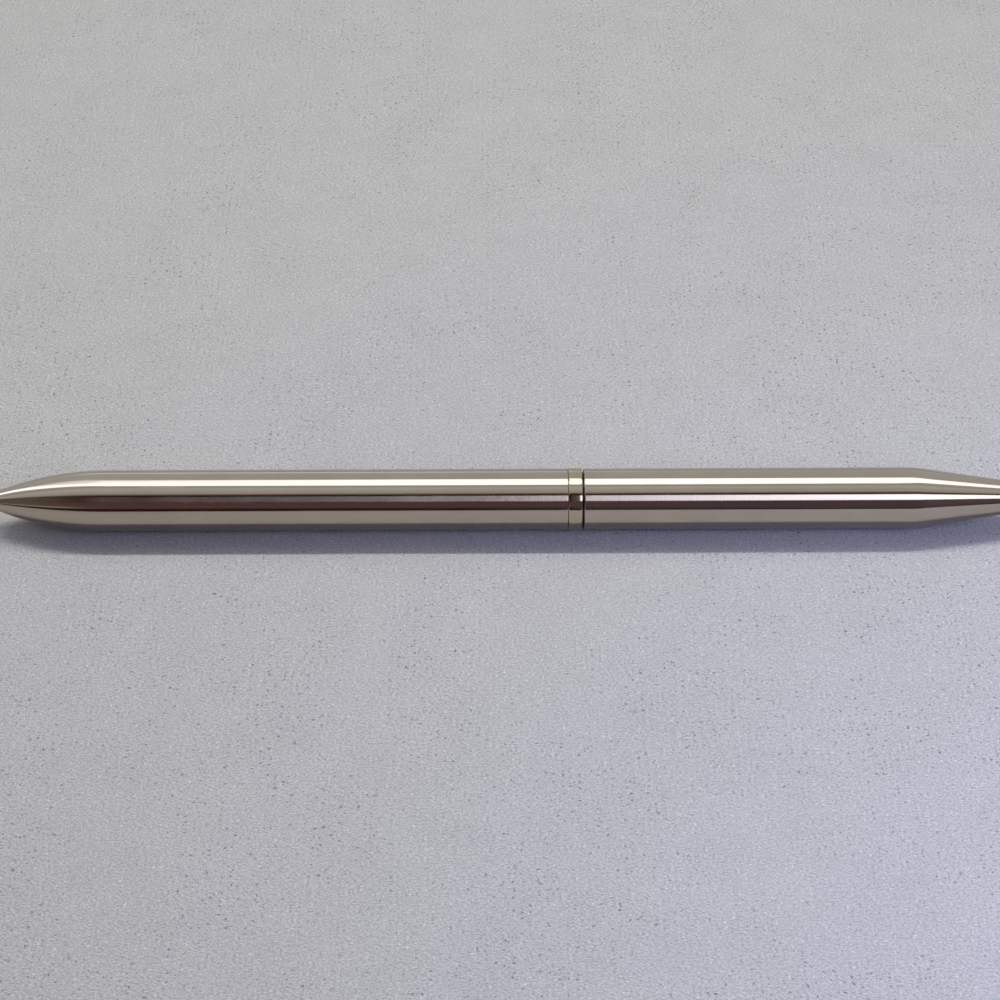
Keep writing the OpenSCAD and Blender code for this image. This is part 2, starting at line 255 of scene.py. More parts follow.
# Edges of the strip: two places, the edge's angle at each, and how much more it rises at the left.
# The low edge counts its place to the left and to the right.
STRIP_LOW = (0.1, 0.5, 98, 106)
STRIP_LOW_RISE = (-0.5, -0.7, 0, 15)
STRIP_HIGH = (-0.22, -0.16, 112.5, 124.5)
STRIP_HIGH_RISE = (-0.38, -0.7, 0, 34)
# Window to the right in front: where it starts and ends, and its angles
WINDOW_COLOUR = (2.46, 2.52, 3.18, 1)
WINDOW_START = (0.05, 0.075)
WINDOW_END = (0.62, 0.58)
WINDOW_ANGLES = (35, 55.5)
# What lights the paper from around: a dim room and a broad soft ceiling
ROOM_COLOUR = (0.21, 0.21, 0.205, 1)
CEILING_COLOUR = (1.0, 1.0, 1.0, 1)
CEILING_ANGLES = (100, 132)

slots = {entry["slot"]: entry for entry in frame["record"]["materials"]}
slot_of = {entry["node"]: entry["material_slot"] for entry in frame["record"]["subparts"]}
materials = {}


def add(tree, kind, inputs=None, **settings):
    """Adds a node. Inputs are values or output sockets, by the input's name or place."""
    node = tree.nodes.new(kind)
    for key, value in settings.items():
        setattr(node, key, value)
    for key, value in (inputs or {}).items():
        if isinstance(value, bpy.types.NodeSocket):
            tree.links.new(value, node.inputs[key])
        else:
            node.inputs[key].default_value = value
    return node


def new_material(name):
    """Node tree and Principled shader of a new material, which is kept under its name."""
    material = bpy.data.materials.new(name)
    material.use_nodes = True
    materials[name] = material
    return material.node_tree, material.node_tree.nodes["Principled BSDF"]


def math_node(tree, operation, *values):
    """Output of a Math node."""
    return add(tree, "ShaderNodeMath", dict(enumerate(values)), operation=operation).outputs[0]


def map_range(tree, value, low, high, to_low=0.0, to_high=1.0, smooth=False):
    """Output of a clamped Map Range node."""
    kind = "SMOOTHSTEP" if smooth else "LINEAR"
    inputs = {"Value": value, "From Min": low, "From Max": high, "To Min": to_low, "To Max": to_high}
    return add(tree, "ShaderNodeMapRange", inputs, interpolation_type=kind, clamp=True).outputs[0]


def band(tree, value, low, high, edge):
    """1 between two limits and 0 outside, with soft edges. A limit may be a socket."""
    above = math_node(tree, "SUBTRACT", value, low)
    below = math_node(tree, "SUBTRACT", high, value)
    nearest = math_node(tree, "MINIMUM", above, below)
    return map_range(tree, nearest, -edge, edge, smooth=True)


def mix_colour(tree, factor, first, second):
    """Output of a colour Mix node."""
    node = add(tree, "ShaderNodeMix", {"Factor": factor}, data_type="RGBA", clamp_factor=True)
    for socket, value in zip([s for s in node.inputs if s.type == "RGBA"], (first, second)):
        if isinstance(value, bpy.types.NodeSocket):
            tree.links.new(value, socket)
        else:
            socket.default_value = value
    return [s for s in node.outputs if s.type == "RGBA"][0]


def noise(tree, vector, per_m=1.0, detail=2.0, roughness=0.5):
    """Output of a Noise Texture, from about 0.25 to 0.75, by its marks a metre."""
    inputs = {"Vector": vector, "Scale": per_m, "Detail": detail, "Roughness": roughness}
    return add(tree, "ShaderNodeTexNoise", inputs).outputs["Fac"]


def stretched(tree, vector, scale, rotation=(0, 0, 0)):
    """A vector scaled by axis, so that a noise on it has long marks."""
    inputs = {"Vector": vector, "Scale": scale, "Rotation": rotation}
    return add(tree, "ShaderNodeMapping", inputs).outputs["Vector"]


def bump(tree, height, distance):
    """Normal with a height in metres put on it."""
    inputs = {"Height": height, "Distance": distance, "Strength": 1.0}
    return add(tree, "ShaderNodeBump", inputs).outputs["Normal"]


def tinted(colour, factor):
    """Colour times a factor, with alpha."""
    return (*(channel * factor for channel in colour), 1.0)


def toned(tree, level, colour, tones, span=NOISE_SPAN):
    """Colour that follows a noise from one of its tones to another."""
    low, high = (tinted(colour, tone) for tone in tones)
    return mix_colour(tree, map_range(tree, level, *span), low, high)


def dulled(tree, level, roughness, shares, span=NOISE_SPAN):
    """Roughness that follows a noise from one share of itself to another."""
    low, high = (roughness * share for share in shares)
    return map_range(tree, level, *span, low, high)


def fill(shader, values):
    """Sets a shader's own sockets."""
    for key, value in values.items():
        shader.inputs[key].default_value = value


def link(tree, shader, sockets):
    """Links outputs to a shader's sockets."""
    for key, output in sockets.items():
        tree.links.new(output, shader.inputs[key])


def along_pen(tree, vector):
    """Part of a place or a direction that lies along the pen."""
    return add(tree, "ShaderNodeSeparateXYZ", {0: vector}).outputs["X"]


def unrolled(tree, place, radius):
    """Coordinates on the pen's outside: along the pen, around it, and zero."""
    split = add(tree, "ShaderNodeSeparateXYZ", {0: place}).outputs
    angle = math_node(tree, "ARCTAN2", split["Z"], split["Y"])
    around = math_node(tree, "MULTIPLY", angle, radius)
    return add(tree, "ShaderNodeCombineXYZ", {0: split["X"], 1: around}).outputs[0]


def joint_face_shade(tree, place):
    """Mask of the end faces at the joint, where shade is painted, from 0 to 1."""
    normal = add(tree, "ShaderNodeTexCoord").outputs["Normal"]
    facing = math_node(tree, "ABSOLUTE", along_pen(tree, normal))
    from_joint = math_node(tree, "SUBTRACT", along_pen(tree, place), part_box("centre_ring")[1].x)
    near = map_range(tree, math_node(tree, "ABSOLUTE", from_joint), *JOINT_REACH)
    return math_node(tree, "MULTIPLY", map_range(tree, facing, *FACING_ALONG), near)


def joint_gap_shade(tree, place):
    """Painted shade on what lies under the gap between the ring and the short barrel, from 0 to 1."""
    from_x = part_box("centre_ring")[1].x
    to_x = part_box("short_barrel")[0].x
    along = along_pen(tree, place)
    after = map_range(tree, along, from_x - 2 * GAP_SHADE_EDGE, from_x - GAP_SHADE_EDGE)
    before = map_range(tree, along, to_x + 2 * GAP_SHADE_EDGE, to_x + GAP_SHADE_EDGE)
    return math_node(tree, "MULTIPLY", after, before)


def polished_plate(slot, roughness, spread, line_height):
    """Polished plate: lines around the pen, faint smudges, some hairlines, and faces at the joint
    dulled and darkened with painted shade.
    """
    tree, shader = new_material(slot)
    place = add(tree, "ShaderNodeTexCoord").outputs["Object"]
    lines = noise(tree, stretched(tree, place, PLATE_LINES), detail=1.0)
    fine = noise(tree, stretched(tree, place, FINE_LINES), detail=1.0)
    smudge = noise(tree, place, per_m=160, detail=4.0, roughness=0.6)
    flat = unrolled(tree, place, PLATE_R)
    hair = noise(tree, stretched(tree, flat, HAIRLINES, HAIRLINE_SLANT), detail=1.0, roughness=0.4)
    hairline = map_range(tree, hair, *HAIRLINE_CUT)
    height = math_node(tree, "MULTIPLY_ADD", fine, FINE_SHARE, lines)
    scored = math_node(tree, "MULTIPLY_ADD", hairline, -HAIRLINE_DEPTH, height)
    worn_colour = [channel * wear for channel, wear in zip(slots[slot]["base_color"], PLATE_WEAR)]
    polished = toned(tree, smudge, worn_colour, SMUDGE_TONES)
    # Painted shade: the end faces at the joint are darkened, and made rougher
    shaded_end_face = joint_face_shade(tree, place)
    base = mix_colour(tree, shaded_end_face, polished, tinted(worn_colour, END_FACE_SHADE_TONE))
    dull = dulled(tree, smudge, roughness, SMUDGE_DULL, span=(0.35, 0.75))
    worn = math_node(tree, "MULTIPLY_ADD", shaded_end_face, END_FACE_DULL, dull)
    tangent = add(tree, "ShaderNodeTangent", direction_type="RADIAL", axis="X").outputs[0]
    fill(shader, {"Metallic": 1.0, "Anisotropic": spread, "Anisotropic Rotation": QUARTER_TURN})
    link(tree, shader, {
        "Base Color": base,
        "Roughness": worn,
        "Tangent": tangent,
        "Normal": bump(tree, scored, line_height),
    })


def turned_metal(slot, roughness, lines_per_m, line_height, tarnish):
    """Metal with lathe lines around the pen, some tarnish, and painted shade under the gap of the
    joint.
    """
    tree, shader = new_material(slot)
    colour = slots[slot]["base_color"]
    place = add(tree, "ShaderNodeTexCoord").outputs["Object"]
    across = lines_per_m / LATHE_STRETCH
    lines = noise(tree, stretched(tree, place, (lines_per_m, across, across)), roughness=0.6)
    stain = noise(tree, place, per_m=420, detail=4.0, roughness=0.65)
    stained = toned(tree, stain, colour, (CLEAN_TONE, 1 - tarnish), span=(0.35, 0.7))
    # Painted shade: a near-black band where the gap of the joint lies over the metal
    base = mix_colour(tree, joint_gap_shade(tree, place), stained, GAP_SHADE_COLOUR)
    dull = dulled(tree, lines, roughness, LATHE_DULL, span=(0.25, 0.75))
    normal = bump(tree, lines, line_height)
    fill(shader, {"Metallic": 1.0})
    link(tree, shader, {"Base Color": base, "Roughness": dull, "Normal": normal})


def moulded(slot, roughness, grain_height):
    """Plastic or rubber with a fine moulded grain and slight clouding."""
    tree, shader = new_material(slot)
    place = add(tree, "ShaderNodeTexCoord").outputs["Object"]
    grain = noise(tree, place, per_m=9000, detail=3.0, roughness=0.6)
    cloud = noise(tree, place, per_m=380, detail=3.0)
    base = toned(tree, cloud, slots[slot]["base_color"], CLOUD_TONES)
    dull = dulled(tree, grain, roughness, GRAIN_DULL)
    normal = bump(tree, grain, grain_height)
    link(tree, shader, {"Base Color": base, "Roughness": dull, "Normal": normal})


def wet(slot, depth):
    """Ink or grease: glossy, with slow swirls of tone."""
    tree, shader = new_material(slot)
    place = add(tree, "ShaderNodeTexCoord").outputs["Object"]
    swirl = noise(tree, place, per_m=700, detail=3.0, roughness=0.55)
    base = toned(tree, swirl, slots[slot]["base_color"], (1 - depth, 1 + depth))
    dull = map_range(tree, swirl, *NOISE_SPAN, *WET_ROUGHNESS)
    fill(shader, {"Coat Weight": 0.4, "Coat Roughness": 0.05})
    link(tree, shader, {"Base Color": base, "Roughness": dull})


def finishes():
    """Material of every slot in the record."""
    polished_plate("barrel_plate", roughness=0.1296, spread=0.969, line_height=2.5e-6)
    polished_plate("ring_plate", roughness=0.065, spread=0.3, line_height=0.8e-6)
    turned_metal("turned_brass", roughness=0.26, lines_per_m=16000, line_height=3e-6, tarnish=0.25)
    turned_metal("refill_brass", roughness=0.2, lines_per_m=5000, line_height=1e-6, tarnish=0.2)
    turned_metal("spring_steel", roughness=0.25, lines_per_m=20000, line_height=1e-6, tarnish=0.15)
    turned_metal("nickel_silver", roughness=0.18, lines_per_m=30000, line_height=1.5e-6, tarnish=0.12)
    turned_metal("ball_metal", roughness=0.16, lines_per_m=30000, line_height=0.5e-6, tarnish=0.2)
    moulded("acetal", roughness=0.42, grain_height=4e-6)
    moulded("nitrile", roughness=0.6, grain_height=8e-6)
    wet("black_ink", depth=0.3)
    wet("red_ink", depth=0.2)
    wet("grease", depth=0.12)


def arc_corner(centre_x, centre_r, radius, start, end):
    """Outline corner whose rounding is the arc about a centre between two angles."""
    reach = radius / math.cos((end - start) / 2)
    middle = (start + end) / 2
    return centre_x + reach * math.cos(middle), centre_r + reach * math.sin(middle), radius


def tangent_r(centre_x, centre_r, radius, angle, x):
    """Radius at which an arc's tangent reaches a place along the pen."""
    from_x = centre_x + radius * math.cos(angle)
    from_r = centre_r + radius * math.sin(angle)
    return from_r - (x - from_x) / math.tan(angle)


def rounded_corner(before, corner, after):
    """Rows of (place, outward normal) on the arc that rounds one corner of an outline."""
    here = Vector(corner[:2])
    way_in = (here - Vector(before[:2])).normalized()
    way_out = (Vector(after[:2]) - here).normalized()
    turn = math.atan2(way_in.cross(way_out), way_in.dot(way_out))
    radius = math.copysign(corner[2], turn)
    start = here - way_in * corner[2] * math.tan(abs(turn) / 2)
    centre = start + radius * Vector((-way_in.y, way_in.x))
    heading = math.atan2(way_in.y, way_in.x)
    arc_length = corner[2] * abs(turn)
    steps = max(ARC_ROWS, math.ceil(abs(turn) / ARC_STEP), math.ceil(arc_length / ARC_ROW_STEP))
    rows = []
    for step in range(steps + 1):
        angle = heading + turn * step / steps
        normal = Vector((math.sin(angle), -math.cos(angle)))
        rows.append((centre + radius * normal, normal))
    return rows


def rounded_outline(corners):
    """Rows of a closed outline through corners (along, radius, rounding), material on its left."""
    count = len(corners)
    arcs = [rounded_corner(corners[i - 1], corners[i], corners[(i + 1) % count]) for i in range(count)]
    rows = []
    for i, arc in enumerate(arcs):
        end, normal = arc[-1]
        next_start = arcs[(i + 1) % count][0][0]
        joined = (next_start - end).length < SAME_PLACE
        rows.extend(arc[:-1] if joined else arc)
        parts = 0 if joined else math.ceil((next_start - end).length / ROW_STEP)
        rows.extend((end.lerp(next_start, part / parts), normal) for part in range(1, parts))
    return rows


def smooth_mesh(name, points, normals, faces, uvs):
    """Object with a mesh, its exact normals and an unrolled map for baking."""
    mesh = bpy.data.meshes.new(name)
    mesh.from_pydata(points, [], faces)
    layer = mesh.uv_layers.new(name="OFBake")
    layer.data.foreach_set("uv", [value for uv in uvs for value in uv])
    mesh.shade_smooth()
    mesh.normals_split_custom_set_from_vertices(normals)
    piece = bpy.data.objects.new(name, mesh)
    bpy.context.scene.collection.objects.link(piece)
    return piece


def turned_piece(name, corners, mirrored=False):
    """Turned piece about the pen's axis, from its outline; a mirrored outline faces the other way."""
    if mirrored:
        corners = [(-x, r, rounding) for x, r, rounding in reversed(corners)]
    rows = rounded_outline(corners)
    count = len(rows)
    lengths = [0.0]
    for i in range(count):
        lengths.append(lengths[-1] + (rows[(i + 1) % count][0] - rows[i][0]).length)
    turns = [2 * math.pi * side / SIDES for side in range(SIDES)]
    points = [(p.x, p.y * math.cos(a), p.y * math.sin(a)) for p, n in rows for a in turns]
    normals = [(n.x, n.y * math.cos(a), n.y * math.sin(a)) for p, n in rows for a in turns]
    faces = []
    uvs = []
    for row in range(count):
        above = (row + 1) % count
        low, high = lengths[row] / lengths[-1], lengths[row + 1] / lengths[-1]
        for side in range(SIDES):
            beside = (side + 1) % SIDES
            faces.append((
                row * SIDES + side, above * SIDES + side, above * SIDES + beside, row * SIDES + beside,
            ))
            left, right = side / SIDES, (side + 1) / SIDES
            uvs.extend(((left, low), (left, high), (right, high), (right, low)))
    return smooth_mesh(name, points, normals, faces, uvs)


def dress(piece, body, node):
    """Puts a piece in place of a CAD node, on its body and with its slot's finish."""
    slot = slot_of[node]
    piece.data.materials.append(materials[slot])
    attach(piece, body)
    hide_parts(node)


def long_barrel():
    """Barrel with a rounded nose: one arc, tangent to the barrel, runs to the mouth."""
    lo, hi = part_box("long_barrel")
    barrel_r = hi.z
    drop = barrel_r - MOUTH_R
    ogive_r = (OGIVE_LEN ** 2 + drop ** 2) / (2 * drop)
    ogive_x = lo.x + OGIVE_LEN
    centre_r = barrel_r - ogive_r
    up = math.pi / 2
    outer_end = up + math.asin((OGIVE_LEN - EDGE_LAND) / ogive_r)
    inner_r = ogive_r - WALL
    inner_end = up + math.acos((MOUTH_BORE_R + EDGE_LAND - centre_r) / inner_r)
    bore_end_r = centre_r + inner_r * math.sin(inner_end)
    bore_end_x = ogive_x + inner_r * math.cos(inner_end)
    bore_x = bore_end_x + (MOUTH_BORE_R - bore_end_r) * -math.tan(inner_end)
    corners = [
        (lo.x, MOUTH_BORE_R, LIP_EDGE),
        (bore_x, MOUTH_BORE_R, INNER_EDGE),
        arc_corner(ogive_x, centre_r, inner_r, up, inner_end),
        (hi.x, barrel_r - WALL, INNER_EDGE),
        (hi.x, barrel_r, OPEN_EDGE),
        arc_corner(ogive_x, centre_r, ogive_r, up, outer_end),
        (lo.x, tangent_r(ogive_x, centre_r, ogive_r, outer_end, lo.x), LIP_EDGE),
    ]
    dress(turned_piece("long_barrel_shell", corners), "long_half", "long_barrel")


def short_barrel():
    """Barrel with a conical nose and a softly rounded shoulder."""
    lo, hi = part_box("short_barrel")
    barrel_r = hi.z
    cone_x = hi.x - CONE_LEN
    slope = math.atan2(barrel_r - MOUTH_R, CONE_LEN)
    inner_x = cone_x - WALL * math.tan(slope / 2)
    bore_x = inner_x + (barrel_r - WALL - MOUTH_BORE_R) / math.tan(slope)
    corners = [
        (lo.x, barrel_r - WALL, INNER_EDGE),
        (inner_x, barrel_r - WALL, SHOULDER_R - WALL),
        (bore_x, MOUTH_BORE_R, INNER_EDGE),
        (hi.x, MOUTH_BORE_R, LIP_EDGE),
        (hi.x, MOUTH_R, LIP_EDGE),
        (cone_x, barrel_r, SHOULDER_R),
        (lo.x, barrel_r, OPEN_EDGE),
    ]
    dress(turned_piece("short_barrel_shell", corners), "short_half", "short_barrel")


def trim_ring():
    """Crowned ring between the barrels: nearly flat in its middle, rounder towards its edges."""
    lo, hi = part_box("centre_ring")
    bore_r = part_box("long_barrel")[1].z - WALL
    middle = (hi.x + lo.x) / 2
    half = (hi.x - lo.x) / 2 - RING_LAND
    up = math.pi / 2
    centre_r = hi.z - RING_MIDDLE_R
    tilt = math.asin(RING_MIDDLE / RING_MIDDLE_R)
    inward = RING_MIDDLE_R - RING_SIDE_R
    side_x = inward * math.sin(tilt)
    side_r = centre_r + inward * math.cos(tilt)
    edge_tilt = math.asin((half - side_x) / RING_SIDE_R)
    edge_r = tangent_r(middle + side_x, side_r, RING_SIDE_R, up - edge_tilt, hi.x)
    corners = [
        (lo.x, bore_r, INNER_EDGE),
        (hi.x, bore_r, INNER_EDGE),
        (hi.x, edge_r, RING_EDGE),
        arc_corner(middle + side_x, side_r, RING_SIDE_R, up - edge_tilt, up - tilt),
        arc_corner(middle, centre_r, RING_MIDDLE_R, up - tilt, up + tilt),
        arc_corner(middle - side_x, side_r, RING_SIDE_R, up + tilt, up + edge_tilt),
        (lo.x, edge_r, RING_EDGE),
    ]
    dress(turned_piece("trim_ring", corners), "long_half", "centre_ring")


def writing_tip(side, mirrored):
    """Turned tip of a refill: lip, slender front, shoulder, collar, and a shank in the tube."""
    ball_lo, ball_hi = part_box(f"{side}_ball")
    tip_lo, tip_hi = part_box(f"{side}_tip")
    tube_lo, tube_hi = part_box(f"{side}_refill_tube")
    ball_end = -ball_hi.x if mirrored else ball_lo.x
    shank_end = -tip_lo.x if mirrored else tip_hi.x
    collar_end = (-tube_hi.x if mirrored else tube_lo.x) - SEAT_GAP
    lip_x = ball_end + BALL_OUT
    ball_r = ball_hi.z
    centre_x = ball_end + ball_r
    seat_r = ball_r + SEAT_GAP
    seat_end = centre_x + ball_r / 3
    seat_edge = ball_r / 10
    lip_bore_r = math.sqrt(seat_r ** 2 - (ball_r - BALL_OUT) ** 2)
    feed_x = centre_x + seat_r
    corners = [
        (lip_x, lip_bore_r, LIP_INNER_EDGE),
        (centre_x, seat_r + SEAT_GAP, seat_edge),
        (seat_end, seat_r + SEAT_GAP, seat_edge),
        (feed_x, FEED_R, INNER_EDGE),
        (shank_end, FEED_R, INNER_EDGE),
        (shank_end, SHANK_R, INNER_EDGE),
        (collar_end, SHANK_R, INNER_EDGE),
        (collar_end, REFILL_R, LIP_EDGE),
        (ball_end + TIP_LEN, REFILL_R, COLLAR_EDGE),
        (ball_end + NOZZLE_LEN, NOZZLE_R, NOZZLE_EDGE),
        (lip_x + LIP_TAPER, NOZZLE_R, NOZZLE_EDGE),
        (lip_x, lip_bore_r + LIP_WALL, LIP_OUTER_EDGE),
    ]
    dress(turned_piece(f"{side}_writing_tip", corners, mirrored), "carriage", f"{side}_tip")


def writing_ball(side):
    """Lapped ball in the lip of a writing tip."""
    lo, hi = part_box(f"{side}_ball")
    centre = (lo + hi) / 2
    radius = hi.z
    points = [(centre.x + radius, 0, 0)]
    normals = [(1, 0, 0)]
    for ring in range(1, BALL_RINGS):
        tilt = math.pi * ring / BALL_RINGS
        for turn in range(2 * BALL_RINGS):
            angle = math.pi * turn / BALL_RINGS
            normal = Vector((
                math.cos(tilt), math.sin(tilt) * math.cos(angle), math.sin(tilt) * math.sin(angle),
            ))
            points.append(centre + radius * normal)
            normals.append(normal)
    points.append((centre.x - radius, 0, 0))
    normals.append((-1, 0, 0))
    faces, uvs = ball_faces(2 * BALL_RINGS)
    piece = smooth_mesh(f"{side}_writing_ball", points, normals, faces, uvs)
    dress(piece, f"{side}_point", f"{side}_ball")


def ball_faces(around):
    """Faces and map of a ball with a pole at each end."""
    faces = []
    uvs = []
    last = 1 + (BALL_RINGS - 1) * around
    for ring in range(BALL_RINGS):
        low, high = ring / BALL_RINGS, (ring + 1) / BALL_RINGS
        here, there = 1 + (ring - 1) * around, 1 + ring * around
        for turn in range(around):
            beside = (turn + 1) % around
            left, right = turn / around, (turn + 1) / around
            corners = [(here + turn, (left, low)), (there + turn, (left, high)),
                       (there + beside, (right, high)), (here + beside, (right, low))]
            if ring == 0:
                corners = [(0, ((left + right) / 2, 0)), *corners[1:3]]
            if ring == BALL_RINGS - 1:
                corners = [corners[0], (last, ((left + right) / 2, 1)), corners[3]]
            faces.append([index for index, uv in corners])
            uvs.extend(uv for index, uv in corners)
    return faces, uvs


def specks(tree, place, share, radius):
    """Round specks from 0 to 1: the share of cells that hold one, and its radius in cells."""
    inputs = {"Vector": place, "Scale": SPECK_CELLS}
    cells = add(tree, "ShaderNodeTexVoronoi", inputs, voronoi_dimensions="2D").outputs
    pick = add(tree, "ShaderNodeSeparateColor", {0: cells["Color"]}).outputs
    empty = 1 - share
    chosen = map_range(tree, pick["Red"], empty, empty + SPECK_FAINT)
    smallest, largest = (radius * size for size in SPECK_SIZES)
    reach = map_range(tree, pick["Green"], 0, 1, smallest, largest)
    inside = math_node(tree, "SUBTRACT", reach, cells["Distance"])
    return math_node(tree, "MULTIPLY", map_range(tree, inside, 0, radius * SPECK_EDGE), chosen)


def strayed(tree, place):
    """Place moved about by a fine noise, so that specks on it have ragged outlines."""
    inputs = {"Vector": place, "Scale": STRAYS_PER_M}
    jitter = add(tree, "ShaderNodeTexNoise", inputs).outputs["Color"]
    moved = {0: jitter, 1: (PIT_STRAY, PIT_STRAY, 0), 2: place}
    return add(tree, "ShaderNodeVectorMath", moved, operation="MULTIPLY_ADD").outputs[0]


def pale_paper():
    """Paper with a fine grain, ragged pits in loose patches, dented and darkened with painted shade,
    and pale flecks.
    """
    tree, shader = new_material("pale_paper")
    place = add(tree, "ShaderNodeTexCoord").outputs["Object"]
    grain = noise(tree, stretched(tree, place, GRAIN_SCALE), per_m=4200, roughness=0.6)
    mottle = noise(tree, place, per_m=140, detail=3.0)
    tone = math_node(tree, "MULTIPLY_ADD", mottle, MOTTLE_SHARE, grain)
    pale = mix_colour(tree, map_range(tree, tone, *GRAIN_SPAN), PAPER_LOW, PAPER_HIGH)
    ragged = strayed(tree, place)
    pits = specks(tree, ragged, share=0.26, radius=0.13)
    small_pits = specks(tree, stretched(tree, ragged, SMALL_PIT_SCALE), share=0.45, radius=0.14)
    flecks = specks(tree, stretched(tree, ragged, FLECK_SCALE), share=0.45, radius=0.13)
    patches = map_range(tree, noise(tree, place, per_m=90), *PATCH_SPAN, *PATCH_SHARES)
    all_pits = math_node(tree, "MULTIPLY_ADD", small_pits, SMALL_PIT_SHARE, pits)
    dents_and_shade = math_node(tree, "MULTIPLY", patches, all_pits)
    flecked = mix_colour(tree, math_node(tree, "MULTIPLY", flecks, FLECK_SHARE), pale, PAPER_FLECK)
    # Painted shade: the pits are darkened as well as dented in the relief
    base = mix_colour(tree, math_node(tree, "MULTIPLY", dents_and_shade, PIT_SHARE), flecked, PAPER_PIT_SHADE)
    relief = math_node(tree, "MULTIPLY_ADD", dents_and_shade, -PIT_DEPTH, grain)
    fill(shader, {"Roughness": 0.85, "Specular IOR Level": 0.0})
    link(tree, shader, {"Base Color": base, "Normal": bump(tree, relief, PAPER_RELIEF)})
    fade_to_backdrop(tree, shader, place)


def fade_to_backdrop(tree, shader, place):
    """Turns the floor into the backdrop far from the pen, for the rays that show it."""
    from_pen = add(tree, "ShaderNodeVectorMath", {0: place}, operation="LENGTH").outputs["Value"]
    far = map_range(tree, from_pen, *FLOOR_FADE, smooth=True)
    light_path = add(tree, "ShaderNodeLightPath").outputs
    shown = math_node(tree, "ADD", light_path["Is Camera Ray"], light_path["Is Glossy Ray"])
    seen = math_node(tree, "ADD", shown, light_path["Is Transmission Ray"])
    share = math_node(tree, "MULTIPLY", far, seen)
    backdrop = add(tree, "ShaderNodeEmission", {"Color": BACKDROP_COLOUR}).outputs[0]
    mixed = {0: share, 1: shader.outputs[0], 2: backdrop}
    faded = add(tree, "ShaderNodeMixShader", mixed).outputs[0]
    tree.links.new(faded, tree.nodes["Material Output"].inputs["Surface"])


def paper_floor():
    """Sheet of paper under the pen."""
    mesh = bpy.data.meshes.new("paper_floor")
    half = FLOOR_SIZE / 2
    z = cad_lo.z
    corners = [(-half, -half, z), (half, -half, z), (half, half, z), (-half, half, z)]
    mesh.from_pydata(corners, [], [(0, 1, 2, 3)])
    mesh.materials.append(materials["pale_paper"])
    floor = bpy.data.objects.new("paper_floor", mesh)
    bpy.context.scene.collection.objects.link(floor)


def surround(tree, degrees):
    """Colour of the surround by angle."""
    ramp = add(tree, "ShaderNodeValToRGB", {0: map_range(tree, degrees, 0, HALF_TURN)})
    elements = ramp.color_ramp.elements
    while len(elements) < len(SURROUND):
        elements.new(0.5)
    for element, (angle, colour) in zip(elements, SURROUND):
        element.position = angle / HALF_TURN
        element.color = (*colour, 1)
    return ramp.outputs["Color"]


def zones(tree, colour, along, aside, degrees):
    """Colour with the right, the sides, the left and two thin pale lines put over it."""
    to_right = map_range(tree, along, *RIGHT_PLACE, smooth=True)
    to_side = map_range(tree, aside, *SIDE_PLACE, smooth=True)
    to_left = map_range(tree, along, *LEFT_PLACE, smooth=True)
    behind = band(tree, along, *BACK_LINE_PLACE, edge=0.04)
    for reach, angles, edge, zone_colour in (
        (to_right, RIGHT_ANGLES, ZONE_EDGE, RIGHT_COLOUR),
        (to_side, SIDE_ANGLES, ZONE_EDGE, SIDE_COLOUR),
        (to_left, LEFT_DARK_ANGLES, ZONE_EDGE, LEFT_DARK_COLOUR),
        (to_left, LEFT_LINE_ANGLES, LEFT_LINE_EDGE, LEFT_LINE_COLOUR),
        (behind, BACK_LINE_ANGLES, ZONE_EDGE, BACK_LINE_COLOUR),
    ):
        share = math_node(tree, "MULTIPLY", reach, band(tree, degrees, *angles, edge))
        colour = mix_colour(tree, share, colour, zone_colour)
    return colour


def white_strip(tree, colour, along, aside, degrees):
    """Colour with the strip overhead and its glow put over it."""
    glow_place = band(tree, along, *STRIP_GLOW_PLACE, edge=0.05)
    glow = math_node(tree, "MULTIPLY", glow_place, band(tree, degrees, *STRIP_GLOW_ANGLES, edge=4))
    glowing = mix_colour(tree, glow, colour, STRIP_GLOW_COLOUR)
    low_rise = map_range(tree, along, *STRIP_LOW_RISE)
    low = math_node(tree, "ADD", map_range(tree, aside, *STRIP_LOW), low_rise)
    high_rise = map_range(tree, along, *STRIP_HIGH_RISE)
    high = math_node(tree, "ADD", map_range(tree, along, *STRIP_HIGH), high_rise)
    return mix_colour(tree, band(tree, degrees, low, high, edge=1.2), glowing, STRIP_COLOUR)


def bright_window(tree, colour, along, degrees):
    """Colour with the window put over it."""
    start = map_range(tree, along, *WINDOW_START)
    across = math_node(tree, "MULTIPLY", start, map_range(tree, along, *WINDOW_END))
    share = math_node(tree, "MULTIPLY", across, band(tree, degrees, *WINDOW_ANGLES, edge=1.5))
    return mix_colour(tree, share, colour, WINDOW_COLOUR)


def studio_world():
    """World by ray: a plain backdrop for the camera, a studio in the metal, a soft room as light."""
    world = bpy.data.worlds.new("studio")
    bpy.context.scene.world = world
    world.use_nodes = True
    tree = world.node_tree
    way = add(tree, "ShaderNodeTexCoord").outputs["Generated"]
    split = add(tree, "ShaderNodeSeparateXYZ", {0: way}).outputs
    front = math_node(tree, "MULTIPLY", split["Y"], -1.0)
    degrees = math_node(tree, "DEGREES", math_node(tree, "ARCTAN2", split["Z"], front))
    along = split["X"]
    aside = math_node(tree, "ABSOLUTE", along)
    zoned = zones(tree, surround(tree, degrees), along, aside, degrees)
    stripped = white_strip(tree, zoned, along, aside, degrees)
    reflected = bright_window(tree, stripped, along, degrees)
    ceiling = band(tree, degrees, *CEILING_ANGLES, edge=8)
    room = mix_colour(tree, ceiling, ROOM_COLOUR, CEILING_COLOUR)
    light_path = add(tree, "ShaderNodeLightPath").outputs
    lit = mix_colour(tree, light_path["Is Glossy Ray"], room, reflected)
    shown = mix_colour(tree, light_path["Is Camera Ray"], lit, BACKDROP_COLOUR)
    tree.links.new(shown, tree.nodes["Background"].inputs["Color"])


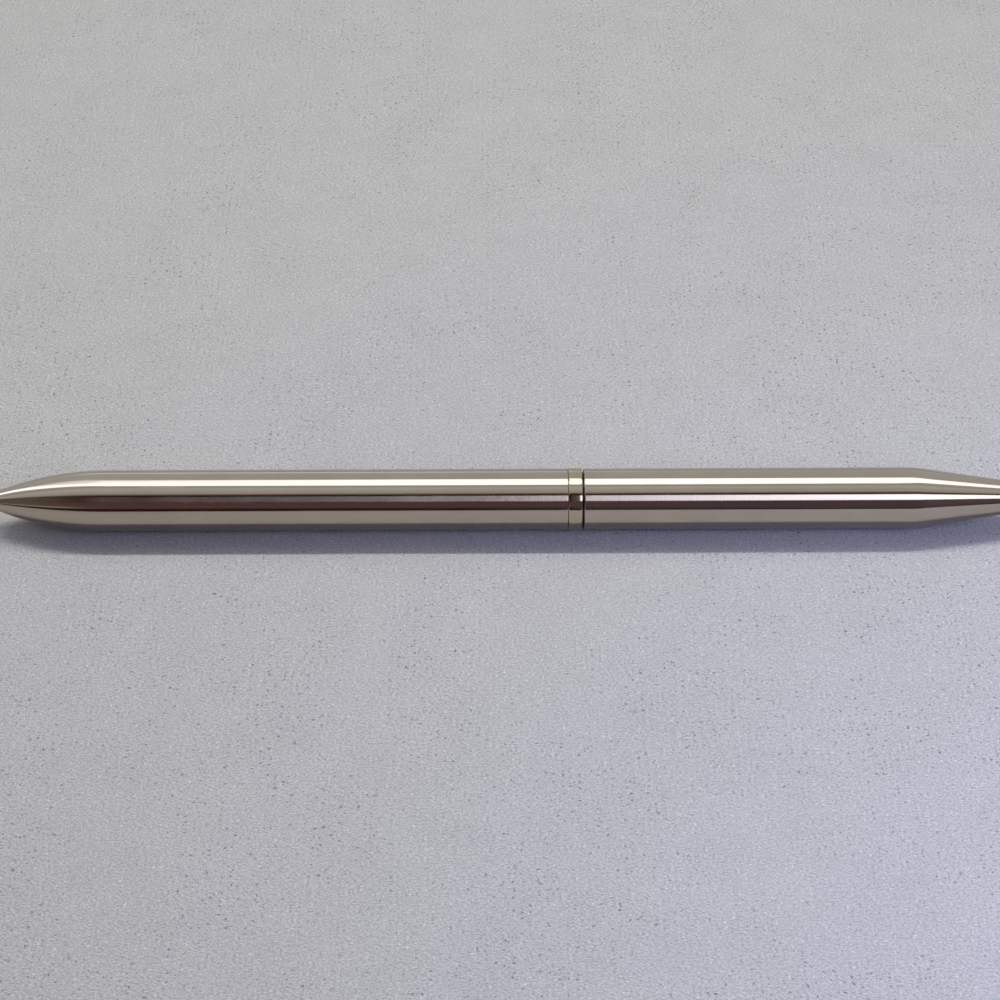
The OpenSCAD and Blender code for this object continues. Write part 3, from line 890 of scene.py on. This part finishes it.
def area_lamp(name, place, way, size, power, colour):
    """Rectangular lamp at a place, which shines against a way and isn't seen in the metal."""
    light = bpy.data.lights.new(name, "AREA")
    light.shape = "RECTANGLE"
    light.size, light.size_y = size
    light.energy = power
    light.color = colour
    lamp = bpy.data.objects.new(name, light)
    lamp.location = place
    lamp.rotation_euler = way.to_track_quat("Z", "Y").to_euler()
    lamp.visible_camera = False
    lamp.visible_glossy = False
    bpy.context.scene.collection.objects.link(lamp)


def studio_lamps():
    """Key lamp behind and a cool fill in front. The metal shows the world's strip for the key."""
    key_way = Vector((0, -math.cos(KEY_ANGLE), math.sin(KEY_ANGLE)))
    key_place = KEY_DISTANCE * key_way + Vector((KEY_X, 0, 0))
    area_lamp("key_lamp", key_place, key_way, (KEY_LENGTH, KEY_WIDTH), KEY_POWER, KEY_COLOUR)
    fill_size = (FILL_SIZE, FILL_SIZE)
    area_lamp("fill_lamp", FILL_PLACE, FILL_PLACE, fill_size, FILL_POWER, FILL_COLOUR)


def camera():
    """Camera at the photograph's angle."""
    data = bpy.data.cameras.new("camera")
    data.sensor_width = SENSOR_WIDTH
    data.lens = SENSOR_WIDTH * CAMERA_DISTANCE / PICTURE_WIDTH
    data.shift_y = PICTURE_SHIFT
    item = bpy.data.objects.new("camera", data)
    way = Vector((0, -math.cos(CAMERA_ELEVATION), math.sin(CAMERA_ELEVATION)))
    item.location = CAMERA_TARGET + CAMERA_DISTANCE * way
    item.rotation_mode = "QUATERNION"
    item.rotation_quaternion = way.to_track_quat("Z", "Y") @ Quaternion((0, 0, 1), -CAMERA_ROLL)
    bpy.context.scene.collection.objects.link(item)
    bpy.context.scene.camera = item


finishes()
pale_paper()
camera()
long_barrel()
short_barrel()
trim_ring()
for side, mirrored in (("black", False), ("red", True)):
    writing_tip(side, mirrored)
    writing_ball(side)
for node, item in frame["nodes"].items():
    item.data.materials.clear()
    item.data.materials.append(materials[slot_of[node]])
paper_floor()
studio_world()
studio_lamps()
bpy.context.scene.view_settings.view_transform = "Standard"

bpy.context.view_layer.update()
